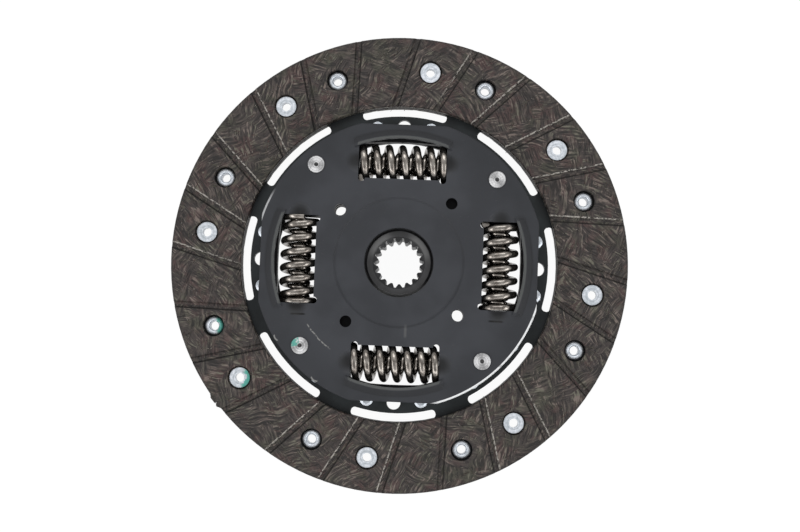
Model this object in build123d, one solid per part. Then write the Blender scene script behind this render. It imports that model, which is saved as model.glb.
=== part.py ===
from build123d import *
import math
import os

# Clutch disc with a torsion damper, lying on the rear end of its hub
# Sizes are in millimetres. The origin is on the axis at the hub's rear end and +Z points to the front.
# Angles are in degrees, clockwise from +Y as seen from the front. +Y runs through one spring window.

# Friction facings
facing_outer_radius = 100.0
facing_bore_gap = 4.4
facing_thickness = 3.5
facing_edge_break = 0.4
facing_spread = 1.5
groove_count = 24
groove_depth = 0.9
groove_top_width = 3.0
groove_floor_width = 1.8
groove_offset = 23.7
groove_first_angle = 1.3

# Tubular rivets that hold the facings
facing_rivet_offset = 0.9
facing_rivet_count = 8
front_head_angle = 7.1
rear_head_angle = 24.2
facing_rivet_head_radius = 4.4
facing_rivet_head_height = 0.9
facing_rivet_shank_radius = 2.55
facing_rivet_bore_radius = 1.95
facing_rivet_curl_radius = 0.8
counterbore_radius = 5.2
counterbore_depth = 2.0
tail_clearance_radius = 4.75
facing_rivet_play = 0.1

# Cushion disc between the facings
cushion_thickness = 0.7
cushion_overlap = 7.6
cushion_rim_inset = 1.4
paddle_count = 8
paddle_slit = 1.6
paddle_fold_run = 10.0
paddle_corner_radius = 4.0
neck_reach = 2.8
slot_width = 3.7
slot_to_facing = 0.1
slot_half_angle = 15.9
slot_corner_radius = 1.6
cushion_rivet_inset = 3.9
cushion_rivet_count = 16
cushion_rivet_shank_radius = 1.7
cushion_rivet_head_radius = 2.85
cushion_rivet_crown_radius = 1.9
cushion_rivet_head_height = 0.9
through_hole_radius = 3.0

# Two retaining plates, one each side of the hub flange
plate_thickness = 2.5
plate_edge_break = 0.4
plate_gap = 2.0
rear_plate_rim = 7.3
cover_rim = 5.4
cover_flat_depth = 2.84
cover_corner_radius = 7.0
cover_bore_radius = 15.1
dish_radius = 27.6
dish_depth = 0.8
dish_slope = 0.9
lip_run = 3.6
lip_rise = 1.7
lip_edge_width = 1.3
lip_edge_drop = 0.45
lip_end_run = 2.2
end_dent_depth = 1.1
end_dent_half_width = 5.2
tooling_hole_circle = 34.3
tooling_hole_radius = 2.55
tooling_hole_angle = 39.8

# Spring windows
window_count = 4
window_length = 38.4
window_inner_play = 0.1
window_outer_room = 2.0
window_relief_radius = 1.5
flange_window_inner_play = 0.6
flange_window_corner_room = 0.2
flange_window_arc_radius = 220.0
flange_window_relief_radius = 1.2

# Damper springs, one small coil inside each large one
spring_circle = 43.6
spring_end_play = 0.05
outer_coil_diameter = 16.8
outer_wire_diameter = 3.3
outer_coil_pitch = 6.0
coil_gap = 0.15
inner_wire_diameter = 2.4
inner_coil_pitch = 4.0

# Hub, its flange and the stop pins that limit the damper's travel
hub_rear_reach = 17.9
hub_front_reach = 3.5
hub_radius = 14.7
hub_edge_break = 0.9
spline_count = 18
spline_major_radius = 10.85
spline_minor_radius = 9.2
spline_root_width = 0.8
spline_tip_width = 2.4
spline_first_angle = 7.3
bore_edge_break = 0.6
flange_thickness = 4.5
flange_tongue = 1.3
seat_count = 12
seat_outer_radius = 18.2
seat_inner_radius = 16.8
seat_tooth_share = 0.5
pin_inset = 7.2
pin_angle = 47.7
pin_body_radius = 4.0
pin_tenon_radius = 2.6
pin_head_radius = 3.65
pin_head_height = 0.8
pin_head_edge = 0.25
pin_dimple_radius = 0.75
pin_dimple_depth = 0.6
pin_play = 0.4
travel_clockwise = 4.1
travel_anticlockwise = 9.5

# Friction washers and the bush that centres the plates on the hub
washer_inner_radius = 19.0
washer_outer_radius = 26.4
washer_play = 0.05
rear_washer_thickness = 0.8
support_ring_thickness = 0.5
spring_washer_sheet = 0.4
bush_wall = 1.85
bush_play = 0.05
bush_collar_radius = 18.4
bush_collar_height = 0.9
bush_rear_reach = 0.5

# How far a cutter runs past the face that it opens
overrun = 1.0

# Radii that follow from the springs outwards
outer_coil_radius = outer_coil_diameter / 2
inner_coil_diameter = outer_coil_diameter - 2 * (outer_wire_diameter + coil_gap)
plate_height = flange_thickness / 2 + plate_gap
coil_half_width_at_plate = math.sqrt(outer_coil_radius**2 - plate_height**2)
window_inner_distance = spring_circle - coil_half_width_at_plate - window_inner_play
window_outer_radius = spring_circle + outer_coil_radius + window_outer_room
flange_window_inner_distance = spring_circle - outer_coil_radius - flange_window_inner_play
flange_arc_to_chord = math.sqrt(flange_window_arc_radius**2 - (window_length / 2) ** 2)
flange_window_sag = flange_window_arc_radius - flange_arc_to_chord
flange_window_corner_distance = spring_circle + outer_coil_radius + flange_window_corner_room
flange_window_outer_distance = flange_window_corner_distance + flange_window_sag
rear_plate_radius = window_outer_radius + lip_run + rear_plate_rim
cover_radius = window_outer_radius + lip_run + cover_rim
cover_flat_distance = cover_radius - cover_flat_depth
pin_circle = cover_radius - pin_inset
flange_radius = pin_circle + flange_tongue
cushion_rivet_circle = rear_plate_radius - cushion_rivet_inset
cushion_inner_radius = rear_plate_radius - cushion_overlap
facing_inner_radius = rear_plate_radius + facing_bore_gap
slot_outer_radius = facing_inner_radius - slot_to_facing
slot_inner_radius = slot_outer_radius - slot_width
facing_rivet_circle = (facing_outer_radius + facing_inner_radius) / 2 + facing_rivet_offset
cushion_outer_radius = facing_outer_radius - cushion_rim_inset

# Heights and angles that follow
spring_z = hub_rear_reach
hub_front_z = spring_z + hub_front_reach
flange_rear_z = spring_z - flange_thickness / 2
flange_front_z = spring_z + flange_thickness / 2
cover_inner_z = flange_front_z + plate_gap
cover_outer_z = cover_inner_z + plate_thickness
rear_plate_inner_z = flange_rear_z - plate_gap
rear_plate_outer_z = rear_plate_inner_z - plate_thickness
cushion_front_z = rear_plate_inner_z + cushion_thickness
cushion_middle_z = rear_plate_inner_z + cushion_thickness / 2
facing_back_z = cushion_middle_z + facing_spread / 2
facing_front_z = facing_back_z + facing_thickness
paddle_lift = (facing_spread - cushion_thickness) / 2
paddle_middle_angle = (front_head_angle + rear_head_angle) / 2
cushion_rivet_first_angle = 180 / cushion_rivet_count
bush_outer_radius = hub_radius + bush_play + bush_wall
notch_middle_angle = pin_angle + (travel_clockwise - travel_anticlockwise) / 2


def at_clock(angle, radius=0.0, z=0.0):
    """Location at a clock angle and distance from the axis, with local +Y pointing outwards."""
    return Rot(0, 0, -angle) * Pos(0, radius, z)


def around(count, first=0.0):
    """Clock angles of an even pattern."""
    return [first + step * 360 / count for step in range(count)]


def ring(outer, inner, low, high):
    """Flat ring on the axis between two heights."""
    return Pos(0, 0, low) * extrude(Circle(outer) - Circle(inner), amount=high - low)


def disc_tool(radius, low, high):
    """Round cutter standing between two heights."""
    return Pos(0, 0, low) * extrude(Circle(radius), amount=high - low)


def turned(points):
    """Solid of revolution about Z from (radius, height) points."""
    return revolve(Plane.XZ * Polygon(*points, align=None), axis=Axis.Z)


def wedge(half_angle, reach):
    """Triangle from the axis outwards, symmetric about +Y."""
    side = 2 * reach
    tip_x = side * math.sin(math.radians(half_angle))
    tip_y = side * math.cos(math.radians(half_angle))
    return Polygon((0, 0), (tip_x, tip_y), (-tip_x, tip_y), align=None)


def turned_to_rear(solid):
    """Turn a piece about the cushion's middle plane, from the front side to the rear side."""
    return Pos(0, 0, cushion_middle_z) * Rot(0, 180, 0) * Pos(0, 0, -cushion_middle_z) * solid


def groove_tool():
    """Straight slanted groove cutter for the facing's front, before it is turned into place."""
    flare = (groove_top_width - groove_floor_width) / 2 / groove_depth
    top_z = facing_front_z + overrun
    floor_z = facing_front_z - groove_depth
    half_top = groove_floor_width / 2 + flare * (top_z - floor_z)
    half_floor = groove_floor_width / 2
    section = Polygon(
        (-half_top, top_z), (-half_floor, floor_z), (half_floor, floor_z), (half_top, top_z), align=None
    )
    start = math.sqrt(facing_inner_radius**2 - groove_offset**2) - 2 * groove_top_width
    bar = extrude(Plane.XZ * section, amount=facing_outer_radius, dir=(0, 1, 0))
    return Pos(-groove_offset, start, 0) * bar


def facing(head_angle, tail_angle):
    """Friction ring, built with its grooved face to the front."""
    blank = ring(facing_outer_radius, facing_inner_radius, facing_back_z, facing_front_z)
    blank = chamfer(blank.edges().group_by(Axis.Z)[-1], facing_edge_break)
    cutters = [at_clock(angle) * groove_tool() for angle in around(groove_count, groove_first_angle)]
    counterbore = disc_tool(
        counterbore_radius, facing_front_z - counterbore_depth, facing_front_z + overrun
    )
    shank_hole = disc_tool(
        facing_rivet_shank_radius + facing_rivet_play, facing_back_z - overrun, facing_front_z + overrun
    )
    tail_hole = disc_tool(tail_clearance_radius, facing_back_z - overrun, facing_front_z + overrun)
    for angle in around(facing_rivet_count, head_angle):
        cutters += [at_clock(angle, facing_rivet_circle) * counterbore]
        cutters += [at_clock(angle, facing_rivet_circle) * shank_hole]
    for angle in around(facing_rivet_count, tail_angle):
        cutters += [at_clock(angle, facing_rivet_circle) * tail_hole]
    return blank - cutters


def facing_rivet():
    """Tubular rivet with its head in the front facing and its tail curled under the paddle."""
    seat_z = facing_front_z - counterbore_depth
    grip_z = facing_back_z - cushion_thickness
    curl_radius = facing_rivet_curl_radius
    head = ring(
        facing_rivet_head_radius, facing_rivet_bore_radius, seat_z, seat_z + facing_rivet_head_height
    )
    shank = ring(facing_rivet_shank_radius, facing_rivet_bore_radius, grip_z - curl_radius, seat_z)
    curl_section = Pos(facing_rivet_bore_radius + curl_radius, grip_z - curl_radius) * Circle(curl_radius)
    curl = revolve(Plane.XZ * curl_section, axis=Axis.Z)
    return head + shank + curl


def paddle():
    """One springy paddle of the cushion disc, folded so that it touches both facings."""
    half_angle = 180 / paddle_count
    outline = (Circle(cushion_outer_radius) - Circle(slot_outer_radius)) & wedge(
        half_angle, cushion_outer_radius
    )
    slit = Rectangle(paddle_slit, 2 * cushion_outer_radius)
    outline -= [at_clock(half_angle) * slit, at_clock(-half_angle) * slit]
    outline = fillet(outline.vertices().group_by(Axis.Y)[-1], paddle_corner_radius)
    blank = Pos(0, 0, cushion_middle_z - facing_spread) * extrude(outline, amount=2 * facing_spread)
    reach = cushion_outer_radius
    high = cushion_middle_z + paddle_lift
    low = cushion_middle_z - paddle_lift
    half_run = paddle_fold_run / 2
    half_sheet = cushion_thickness / 2
    top_line = [(-reach, high), (-half_run, high), (half_run, low), (reach, low)]
    section = [(x, z + half_sheet) for x, z in top_line] + [(x, z - half_sheet) for x, z in top_line[::-1]]
    folded = extrude(Plane.XZ * Polygon(*section, align=None), amount=2 * reach, dir=(0, 1, 0))
    hole = disc_tool(facing_rivet_shank_radius, low - facing_spread, high + facing_spread)
    half_pitch = (rear_head_angle - front_head_angle) / 2
    holes = [at_clock(side * half_pitch, facing_rivet_circle) * hole for side in (-1, 1)]
    return (blank & folded) - holes


def cushion_slot():
    """Outline of one arc slot beside the facing's bore."""
    outline = (Circle(slot_outer_radius) - Circle(slot_inner_radius)) & wedge(
        slot_half_angle, slot_outer_radius
    )
    return fillet(outline.vertices(), slot_corner_radius)


def cushion_disc():
    """Thin sheet that carries the facings: an inner ring, necks between arc slots, and paddles."""
    sheet = Circle(slot_outer_radius + neck_reach) - Circle(cushion_inner_radius)
    sheet -= [at_clock(angle) * cushion_slot() for angle in around(paddle_count)]
    beyond = Circle(slot_outer_radius + 2 * neck_reach) - Circle(slot_outer_radius)
    gap = beyond & wedge(slot_half_angle, slot_outer_radius + 2 * neck_reach)
    sheet -= [at_clock(angle) * gap for angle in around(paddle_count)]
    rivet_hole = Circle(cushion_rivet_shank_radius)
    sheet -= [
        at_clock(angle, cushion_rivet_circle) * rivet_hole
        for angle in around(cushion_rivet_count, cushion_rivet_first_angle)
    ]
    through_hole = Circle(through_hole_radius)
    sheet -= [at_clock(angle, cushion_rivet_circle) * through_hole for angle in around(window_count)]
    sheet -= [
        at_clock(angle, pin_circle) * Circle(pin_body_radius + pin_play)
        for angle in around(window_count, pin_angle)
    ]
    body = Pos(0, 0, rear_plate_inner_z) * extrude(sheet, amount=cushion_thickness)
    return body + [at_clock(angle) * paddle() for angle in around(paddle_count, paddle_middle_angle)]


def cushion_rivet():
    """Solid rivet through the cushion disc and the rear plate."""
    head = cushion_rivet_head_radius
    crown = cushion_rivet_crown_radius
    height = cushion_rivet_head_height
    shank = cushion_rivet_shank_radius
    top = cushion_front_z
    bottom = rear_plate_outer_z
    return turned(
        [
            (0, top + height),
            (crown, top + height),
            (head, top + height / 2),
            (head, top),
            (shank, top),
            (shank, bottom),
            (head, bottom),
            (head, bottom - height / 2),
            (crown, bottom - height),
            (0, bottom - height),
        ]
    )


def plate_window():
    """Outline of a spring window in a retaining plate."""
    middle = (window_inner_distance + window_outer_radius) / 2
    height = window_outer_radius - window_inner_distance
    outline = (Pos(0, middle) * Rectangle(window_length, height)) & Circle(window_outer_radius)
    relief_x = window_length / 2 - window_relief_radius
    for side in (-1, 1):
        outline += Pos(side * relief_x, window_inner_distance) * Circle(window_relief_radius)
    return outline


def lip_bar(base_z, rise):
    """Bar along a window's outer edge whose ends run down to the sheet."""
    half = window_length / 2
    section = Polygon(
        (-half - lip_end_run, base_z), (-half, base_z + rise), (half, base_z + rise),
        (half + lip_end_run, base_z), align=None,
    )
    return extrude(Plane.XZ * section, amount=2 * window_outer_radius, dir=(0, 1, 0))


def window_lip():
    """Raised lip round a plate, still all the way round, with the sheet's outer face at plate_thickness."""
    foot = window_outer_radius + lip_run
    crest = window_outer_radius + lip_edge_width
    top = plate_thickness
    return turned(
        [
            (foot, top),
            (crest, top + lip_rise),
            (window_outer_radius, top + lip_rise - lip_edge_drop),
            (window_outer_radius, top),
        ]
    )


def lip_hollow():
    """What the drawn lip leaves free on the sheet's inner face."""
    return turned(
        [
            (window_outer_radius - overrun, 0),
            (window_outer_radius - overrun, lip_rise),
            (window_outer_radius, lip_rise - lip_edge_drop),
            (window_outer_radius + lip_run - lip_edge_width, 0),
        ]
    )


def end_dent(side, base_z):
    """Ball that presses the half-round dent at one end of a window."""
    ball = (end_dent_half_width**2 + end_dent_depth**2) / (2 * end_dent_depth)
    return Pos(side * window_length / 2, spring_circle, base_z + ball - end_dent_depth) * Sphere(ball)


def retaining_plate(outline, bore_radius, dished):
    """Plate with its inner face at height 0 and its outer face up, before it is put in place."""
    blank = extrude(outline, amount=plate_thickness)
    blank = chamfer(blank.edges().group_by(Axis.Z)[-1], plate_edge_break)
    if dished:
        low = -dish_depth
        outer_slope = dish_radius + dish_slope
        blank += turned([(0, low), (dish_radius - dish_slope, low), (dish_radius, 0), (0, 0)])
        blank -= turned(
            [
                (0, plate_thickness - dish_depth),
                (dish_radius, plate_thickness - dish_depth),
                (outer_slope, plate_thickness),
                (0, plate_thickness),
            ]
        )
    lip = window_lip()
    hollow = lip_hollow()
    top_bar = lip_bar(plate_thickness, lip_rise)
    low_bar = lip_bar(0, lip_rise)
    window = extrude(plate_window(), amount=plate_thickness)
    lips, cuts, bulges = [], [], []
    for angle in around(window_count):
        lips += [at_clock(angle) * (lip & top_bar)]
        cuts += [at_clock(angle) * (hollow & low_bar), at_clock(angle) * window]
        for side in (-1, 1):
            dent = end_dent(side, plate_thickness)
            edge_x = window_length / 2 + end_dent_half_width
            room = Pos(side * edge_x, spring_circle, -end_dent_depth / 2) * Box(
                2 * end_dent_half_width, 2 * spring_circle, end_dent_depth
            )
            bulges += [at_clock(angle) * (end_dent(side, 0) & room)]
            cuts += [at_clock(angle) * dent]
    plate = blank + lips + bulges - cuts
    plate -= disc_tool(bore_radius, -plate_thickness, 2 * plate_thickness)
    tooling = disc_tool(tooling_hole_radius, -overrun, plate_thickness + overrun)
    tenon = disc_tool(pin_tenon_radius, -overrun, plate_thickness + overrun)
    holes = [at_clock(a, tooling_hole_circle) * tooling for a in around(window_count, tooling_hole_angle)]
    holes += [at_clock(a, pin_circle) * tenon for a in around(window_count, pin_angle)]
    return plate - holes


def front_cover_plate():
    """Front plate with four flats on its rim and a dished middle."""
    outline = Circle(cover_radius) & Rectangle(2 * cover_flat_distance, 2 * cover_flat_distance)
    outline = fillet(outline.vertices(), cover_corner_radius)
    return Pos(0, 0, cover_inner_z) * retaining_plate(outline, cover_bore_radius, True)


def rear_drive_plate():
    """Rear plate, larger and round, which carries the cushion disc."""
    plate = retaining_plate(Circle(rear_plate_radius), bush_outer_radius, False)
    plate = mirror(plate, about=Plane.XY)
    rivet_hole = disc_tool(cushion_rivet_shank_radius, -plate_thickness - overrun, overrun)
    through_hole = disc_tool(through_hole_radius, -plate_thickness - overrun, overrun)
    holes = [
        at_clock(angle, cushion_rivet_circle) * rivet_hole
        for angle in around(cushion_rivet_count, cushion_rivet_first_angle)
    ]
    holes += [at_clock(angle, cushion_rivet_circle) * through_hole for angle in around(window_count)]
    return Pos(0, 0, rear_plate_inner_z) * (plate - holes)


def stop_pin():
    """Shouldered pin that spaces the two plates and is headed over at both ends."""
    head = pin_head_radius
    front = cover_outer_z
    rear = rear_plate_outer_z
    return turned(
        [
            (0, front + pin_head_height - pin_dimple_depth),
            (pin_dimple_radius, front + pin_head_height),
            (head - pin_head_edge, front + pin_head_height),
            (head, front + pin_head_height - pin_head_edge),
            (head, front),
            (pin_tenon_radius, front),
            (pin_tenon_radius, cover_inner_z),
            (pin_body_radius, cover_inner_z),
            (pin_body_radius, rear_plate_inner_z),
            (pin_tenon_radius, rear_plate_inner_z),
            (pin_tenon_radius, rear),
            (head, rear),
            (head, rear - pin_head_height + pin_head_edge),
            (head - pin_head_edge, rear - pin_head_height),
            (0, rear - pin_head_height),
        ]
    )


def seat_outline():
    """Toothed outline where the flange sits on the hub."""
    step = 360 / seat_count
    half_gap = step * (1 - seat_tooth_share) / 2
    reach = seat_outer_radius + overrun
    gap = (Circle(reach) - Circle(seat_inner_radius)) & wedge(half_gap, reach)
    return Circle(seat_outer_radius) - [at_clock(angle) * gap for angle in around(seat_count, step / 2)]


def flange_window():
    """Outline of a spring window in the hub flange."""
    half = window_length / 2
    arc_middle = flange_window_outer_distance - flange_window_arc_radius
    middle = (flange_window_inner_distance + flange_window_outer_distance) / 2
    height = flange_window_outer_distance - flange_window_inner_distance
    outline = Pos(0, middle) * Rectangle(window_length, height)
    outline &= Pos(0, arc_middle) * Circle(flange_window_arc_radius)
    corner_y = flange_window_corner_distance - flange_window_relief_radius / 2
    for side in (-1, 1):
        relief = Circle(flange_window_relief_radius)
        outline += Pos(side * (half - flange_window_relief_radius), corner_y) * relief
    return outline


def hub_flange():
    """Flat flange with spring windows, and notches at its rim in which the stop pins travel."""
    sheet = Circle(flange_radius) - seat_outline()
    sheet -= [at_clock(angle) * flange_window() for angle in around(window_count)]
    notch_floor = pin_circle - pin_body_radius - pin_play
    pin_half_angle = math.degrees(math.asin((pin_body_radius + pin_play) / pin_circle))
    notch_half_angle = (travel_clockwise + travel_anticlockwise) / 2 + pin_half_angle
    beyond = flange_radius + overrun
    notch_outline = (Circle(beyond) - Circle(notch_floor)) & wedge(notch_half_angle, beyond)
    sheet -= [at_clock(angle) * notch_outline for angle in around(window_count, notch_middle_angle)]
    open_holes = around(window_count, tooling_hole_angle)[1::2]
    sheet -= [at_clock(angle, tooling_hole_circle) * Circle(tooling_hole_radius) for angle in open_holes]
    return Pos(0, 0, flange_rear_z) * extrude(sheet, amount=flange_thickness)


def hub():
    """Splined sleeve with a toothed collar for the flange."""
    sleeve = extrude(Circle(hub_radius), amount=hub_front_z)
    levels = sleeve.edges().group_by(Axis.Z)
    sleeve = chamfer(levels[0] + levels[-1], hub_edge_break)
    collar = Pos(0, 0, flange_rear_z) * extrude(seat_outline(), amount=flange_thickness)
    inside = spline_minor_radius - overrun
    tooth_space = Polygon(
        (-spline_tip_width / 2, inside),
        (spline_tip_width / 2, inside),
        (spline_tip_width / 2, spline_minor_radius),
        (spline_root_width / 2, spline_major_radius),
        (-spline_root_width / 2, spline_major_radius),
        (-spline_tip_width / 2, spline_minor_radius),
        align=None,
    )
    bore = Circle(spline_minor_radius)
    bore += [at_clock(angle) * tooth_space for angle in around(spline_count, spline_first_angle)]
    body = sleeve + collar - extrude(bore, amount=hub_front_z)
    mouth = spline_major_radius + bore_edge_break
    depth = mouth - spline_minor_radius
    body -= turned([(0, 0), (mouth, 0), (spline_minor_radius, depth), (0, depth)])
    body -= turned(
        [(0, hub_front_z), (mouth, hub_front_z), (spline_minor_radius, hub_front_z - depth),
         (0, hub_front_z - depth)]
    )
    return body


def coil_spring(coil_diameter, wire_diameter, pitch):
    """Helical spring on the X axis with its ends ground flat."""
    length = window_length - 2 * spring_end_play
    mean_radius = (coil_diameter - wire_diameter) / 2
    path = Pos(0, 0, -length / 2) * Helix(pitch=pitch, height=length, radius=mean_radius)
    section = Plane(origin=path @ 0, z_dir=path % 0) * Circle(wire_diameter / 2)
    coil = sweep(section, path=path)
    ground = coil & Cylinder(coil_diameter, length)
    return Rot(0, 90, 0) * ground


def hub_bush():
    """Flanged bush, pressed into the rear plate and running on the hub."""
    bore = hub_radius + bush_play
    sleeve = ring(bush_outer_radius, bore, rear_plate_outer_z - bush_rear_reach, rear_plate_inner_z)
    return sleeve + ring(
        bush_collar_radius, bore, rear_plate_inner_z, rear_plate_inner_z + bush_collar_height
    )


def spring_washer():
    """Coned washer that presses the friction washers against the flange."""
    low = rear_plate_inner_z
    high = flange_rear_z - washer_play - rear_washer_thickness - support_ring_thickness
    return turned(
        [
            (washer_inner_radius, low),
            (washer_inner_radius, low + spring_washer_sheet),
            (washer_outer_radius, high),
            (washer_outer_radius, high - spring_washer_sheet),
        ]
    )


def friction_stack():
    """Flat washers between the flange and the two plates."""
    rear_top = flange_rear_z - washer_play
    support_top = rear_top - rear_washer_thickness
    front_low = flange_front_z + washer_play
    support_low = support_top - support_ring_thickness
    outer = washer_outer_radius
    inner = washer_inner_radius
    return {
        "front_friction_washer": ring(outer, inner, front_low, cover_inner_z - dish_depth),
        "rear_friction_washer": ring(outer, inner, support_top, rear_top),
        "support_ring": ring(outer, inner, support_low, support_top),
        "belleville_washer": spring_washer(),
    }


def build_pieces():
    """Every piece by its node's name."""
    front = facing(front_head_angle, rear_head_angle)
    rear = turned_to_rear(facing(-rear_head_angle, -front_head_angle))
    rivet = facing_rivet()
    pieces = {
        "front_facing": front,
        "rear_facing": rear,
        "cushion_disc": cushion_disc(),
        "rear_drive_plate": rear_drive_plate(),
        "front_cover_plate": front_cover_plate(),
        "hub": hub(),
        "hub_flange": hub_flange(),
        "hub_bush": hub_bush(),
        "front_facing_rivets": Compound(
            [
                at_clock(angle, facing_rivet_circle) * rivet
                for angle in around(facing_rivet_count, front_head_angle)
            ]
        ),
        "rear_facing_rivets": Compound(
            [
                at_clock(angle, facing_rivet_circle) * turned_to_rear(rivet)
                for angle in around(facing_rivet_count, rear_head_angle)
            ]
        ),
        "cushion_disc_rivets": Compound(
            [
                at_clock(angle, cushion_rivet_circle) * cushion_rivet()
                for angle in around(cushion_rivet_count, cushion_rivet_first_angle)
            ]
        ),
    }
    pieces.update(friction_stack())
    outer_coil = coil_spring(outer_coil_diameter, outer_wire_diameter, outer_coil_pitch)
    inner_coil = coil_spring(inner_coil_diameter, inner_wire_diameter, inner_coil_pitch)
    for number, angle in enumerate(around(window_count), start=1):
        seat = at_clock(angle, spring_circle, spring_z)
        pieces[f"damper_spring_{number}"] = seat * outer_coil
        pieces[f"inner_spring_{number}"] = seat * inner_coil
    for number, angle in enumerate(around(window_count, pin_angle), start=1):
        pieces[f"stop_pin_{number}"] = at_clock(angle, pin_circle) * stop_pin()
    return pieces


os.makedirs("parts", exist_ok=True)
for name, piece in build_pieces().items():
    export_step(piece, f"parts/{name}.step")
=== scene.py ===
import math

import bmesh
import bpy
from mathutils import Matrix, Vector, noise


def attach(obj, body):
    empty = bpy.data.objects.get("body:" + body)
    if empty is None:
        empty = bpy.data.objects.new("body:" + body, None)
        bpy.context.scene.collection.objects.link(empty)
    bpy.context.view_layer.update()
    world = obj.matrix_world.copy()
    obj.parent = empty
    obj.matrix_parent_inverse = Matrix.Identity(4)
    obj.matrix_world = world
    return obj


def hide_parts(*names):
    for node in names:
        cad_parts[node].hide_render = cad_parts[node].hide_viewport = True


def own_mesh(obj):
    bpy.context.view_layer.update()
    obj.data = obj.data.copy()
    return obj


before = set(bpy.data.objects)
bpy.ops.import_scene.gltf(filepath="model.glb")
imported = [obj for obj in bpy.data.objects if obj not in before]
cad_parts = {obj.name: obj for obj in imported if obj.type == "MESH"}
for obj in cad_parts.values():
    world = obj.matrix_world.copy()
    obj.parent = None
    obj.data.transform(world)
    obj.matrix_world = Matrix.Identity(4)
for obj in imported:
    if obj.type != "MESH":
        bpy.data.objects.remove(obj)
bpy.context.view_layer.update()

# Clutch disc with a torsion damper, seen from its front
# Sizes are in millimetres and are turned into metres by MM. Clock angles run clockwise from +Y.
MM = 0.001

# Camera, from the rivets' and pins' places in the photograph of 800 by 532 pixels
camera_place = (9.54, -35.11, 566.8)
camera_aim = (0.52, -1.15, 18.0)
camera_roll = 2.235
camera_lens = 56.57

# Heights and radii shared with the frame
facing_front = 18.25
facing_rear = 9.75
facing_inner = 69.2
facing_outer = 100.0
groove_offset = 23.7
groove_first_angle = 1.3
groove_step = 15.0
rivet_circle = 85.5
front_head_angle = 7.1
rear_head_angle = 24.2
pin_circle = 55.7
pin_first_angle = 47.7
spring_circle = 43.6
spring_height = 17.9
spring_length = 38.3

driven_side = "driven_side"
hub_side = "hub_side"
spring_set = "spring_set"


def at_clock(angle, radius, height=0.0):
    """Point at a clock angle and distance from the axis, in millimetres."""
    turn = math.radians(angle)
    return Vector((radius * math.sin(turn), radius * math.cos(turn), height))


class Graph:
    """Short calls for building a tree of nodes, for a material or for geometry."""

    def __init__(self, tree):
        self.tree = tree

    def node(self, kind, *inputs, **settings):
        """A node with its settings, whose inputs are given in order as values or sockets."""
        made = self.tree.nodes.new(kind)
        for name, value in settings.items():
            setattr(made, name, value)
        for place, value in enumerate(inputs):
            self.feed(made.inputs[place], value)
        return made

    def feed(self, socket, value):
        """Links a socket to another, or sets its value."""
        if value is None:
            return
        if isinstance(value, bpy.types.NodeSocket):
            self.tree.links.new(value, socket)
        else:
            socket.default_value = value

    def feeds(self, made, **inputs):
        """Feeds inputs by their names, with spaces written as underscores."""
        for name, value in inputs.items():
            self.feed(made.inputs[name.replace("_", " ")], value)
        return made

    def math(self, operation, *values):
        return self.node("ShaderNodeMath", *values, operation=operation).outputs[0]

    def chain(self, operation, first, others):
        for other in others:
            first = self.math(operation, first, other)
        return first

    def times(self, first, *others):
        return self.chain("MULTIPLY", first, others)

    def plus(self, first, *others):
        return self.chain("ADD", first, others)

    def minus(self, first, *others):
        return self.chain("SUBTRACT", first, others)

    def largest(self, first, *others):
        return self.chain("MAXIMUM", first, others)

    def vector(self, operation, *values):
        made = self.node("ShaderNodeVectorMath", *values, operation=operation)
        return made.outputs["Value" if operation in ("LENGTH", "DISTANCE") else "Vector"]

    def scaled(self, vector, factor):
        made = self.node("ShaderNodeVectorMath", vector, operation="SCALE")
        self.feed(made.inputs["Scale"], factor)
        return made.outputs["Vector"]

    def joined(self, x, y, z):
        return self.node("ShaderNodeCombineXYZ", x, y, z).outputs[0]

    def split(self, vector):
        return self.node("ShaderNodeSeparateXYZ", vector).outputs

    def ramp(self, value, low, high, start=0.0, end=1.0, smooth=True):
        """Value carried from the range low to high into the range start to end, clamped."""
        made = self.node("ShaderNodeMapRange", value, low, high, start, end)
        made.interpolation_type = "SMOOTHSTEP" if smooth else "LINEAR"
        return made.outputs[0]

    def noise(self, vector, size, detail=2.0, roughness=0.5):
        """Noise whose features are about size long, in the units of the vector."""
        made = self.node("ShaderNodeTexNoise")
        self.feeds(made, Vector=vector, Scale=1 / size, Detail=detail, Roughness=roughness)
        return made

    def mix(self, factor, first, second):
        """The first colour where factor is 0, the second where it is 1."""
        made = self.node("ShaderNodeMix", data_type="RGBA")
        for socket, value in zip((made.inputs[0], made.inputs[6], made.inputs[7]), (factor, first, second)):
            self.feed(socket, value)
        return made.outputs[2]


def colour(red, green, blue):
    return (red, green, blue, 1.0)


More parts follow.
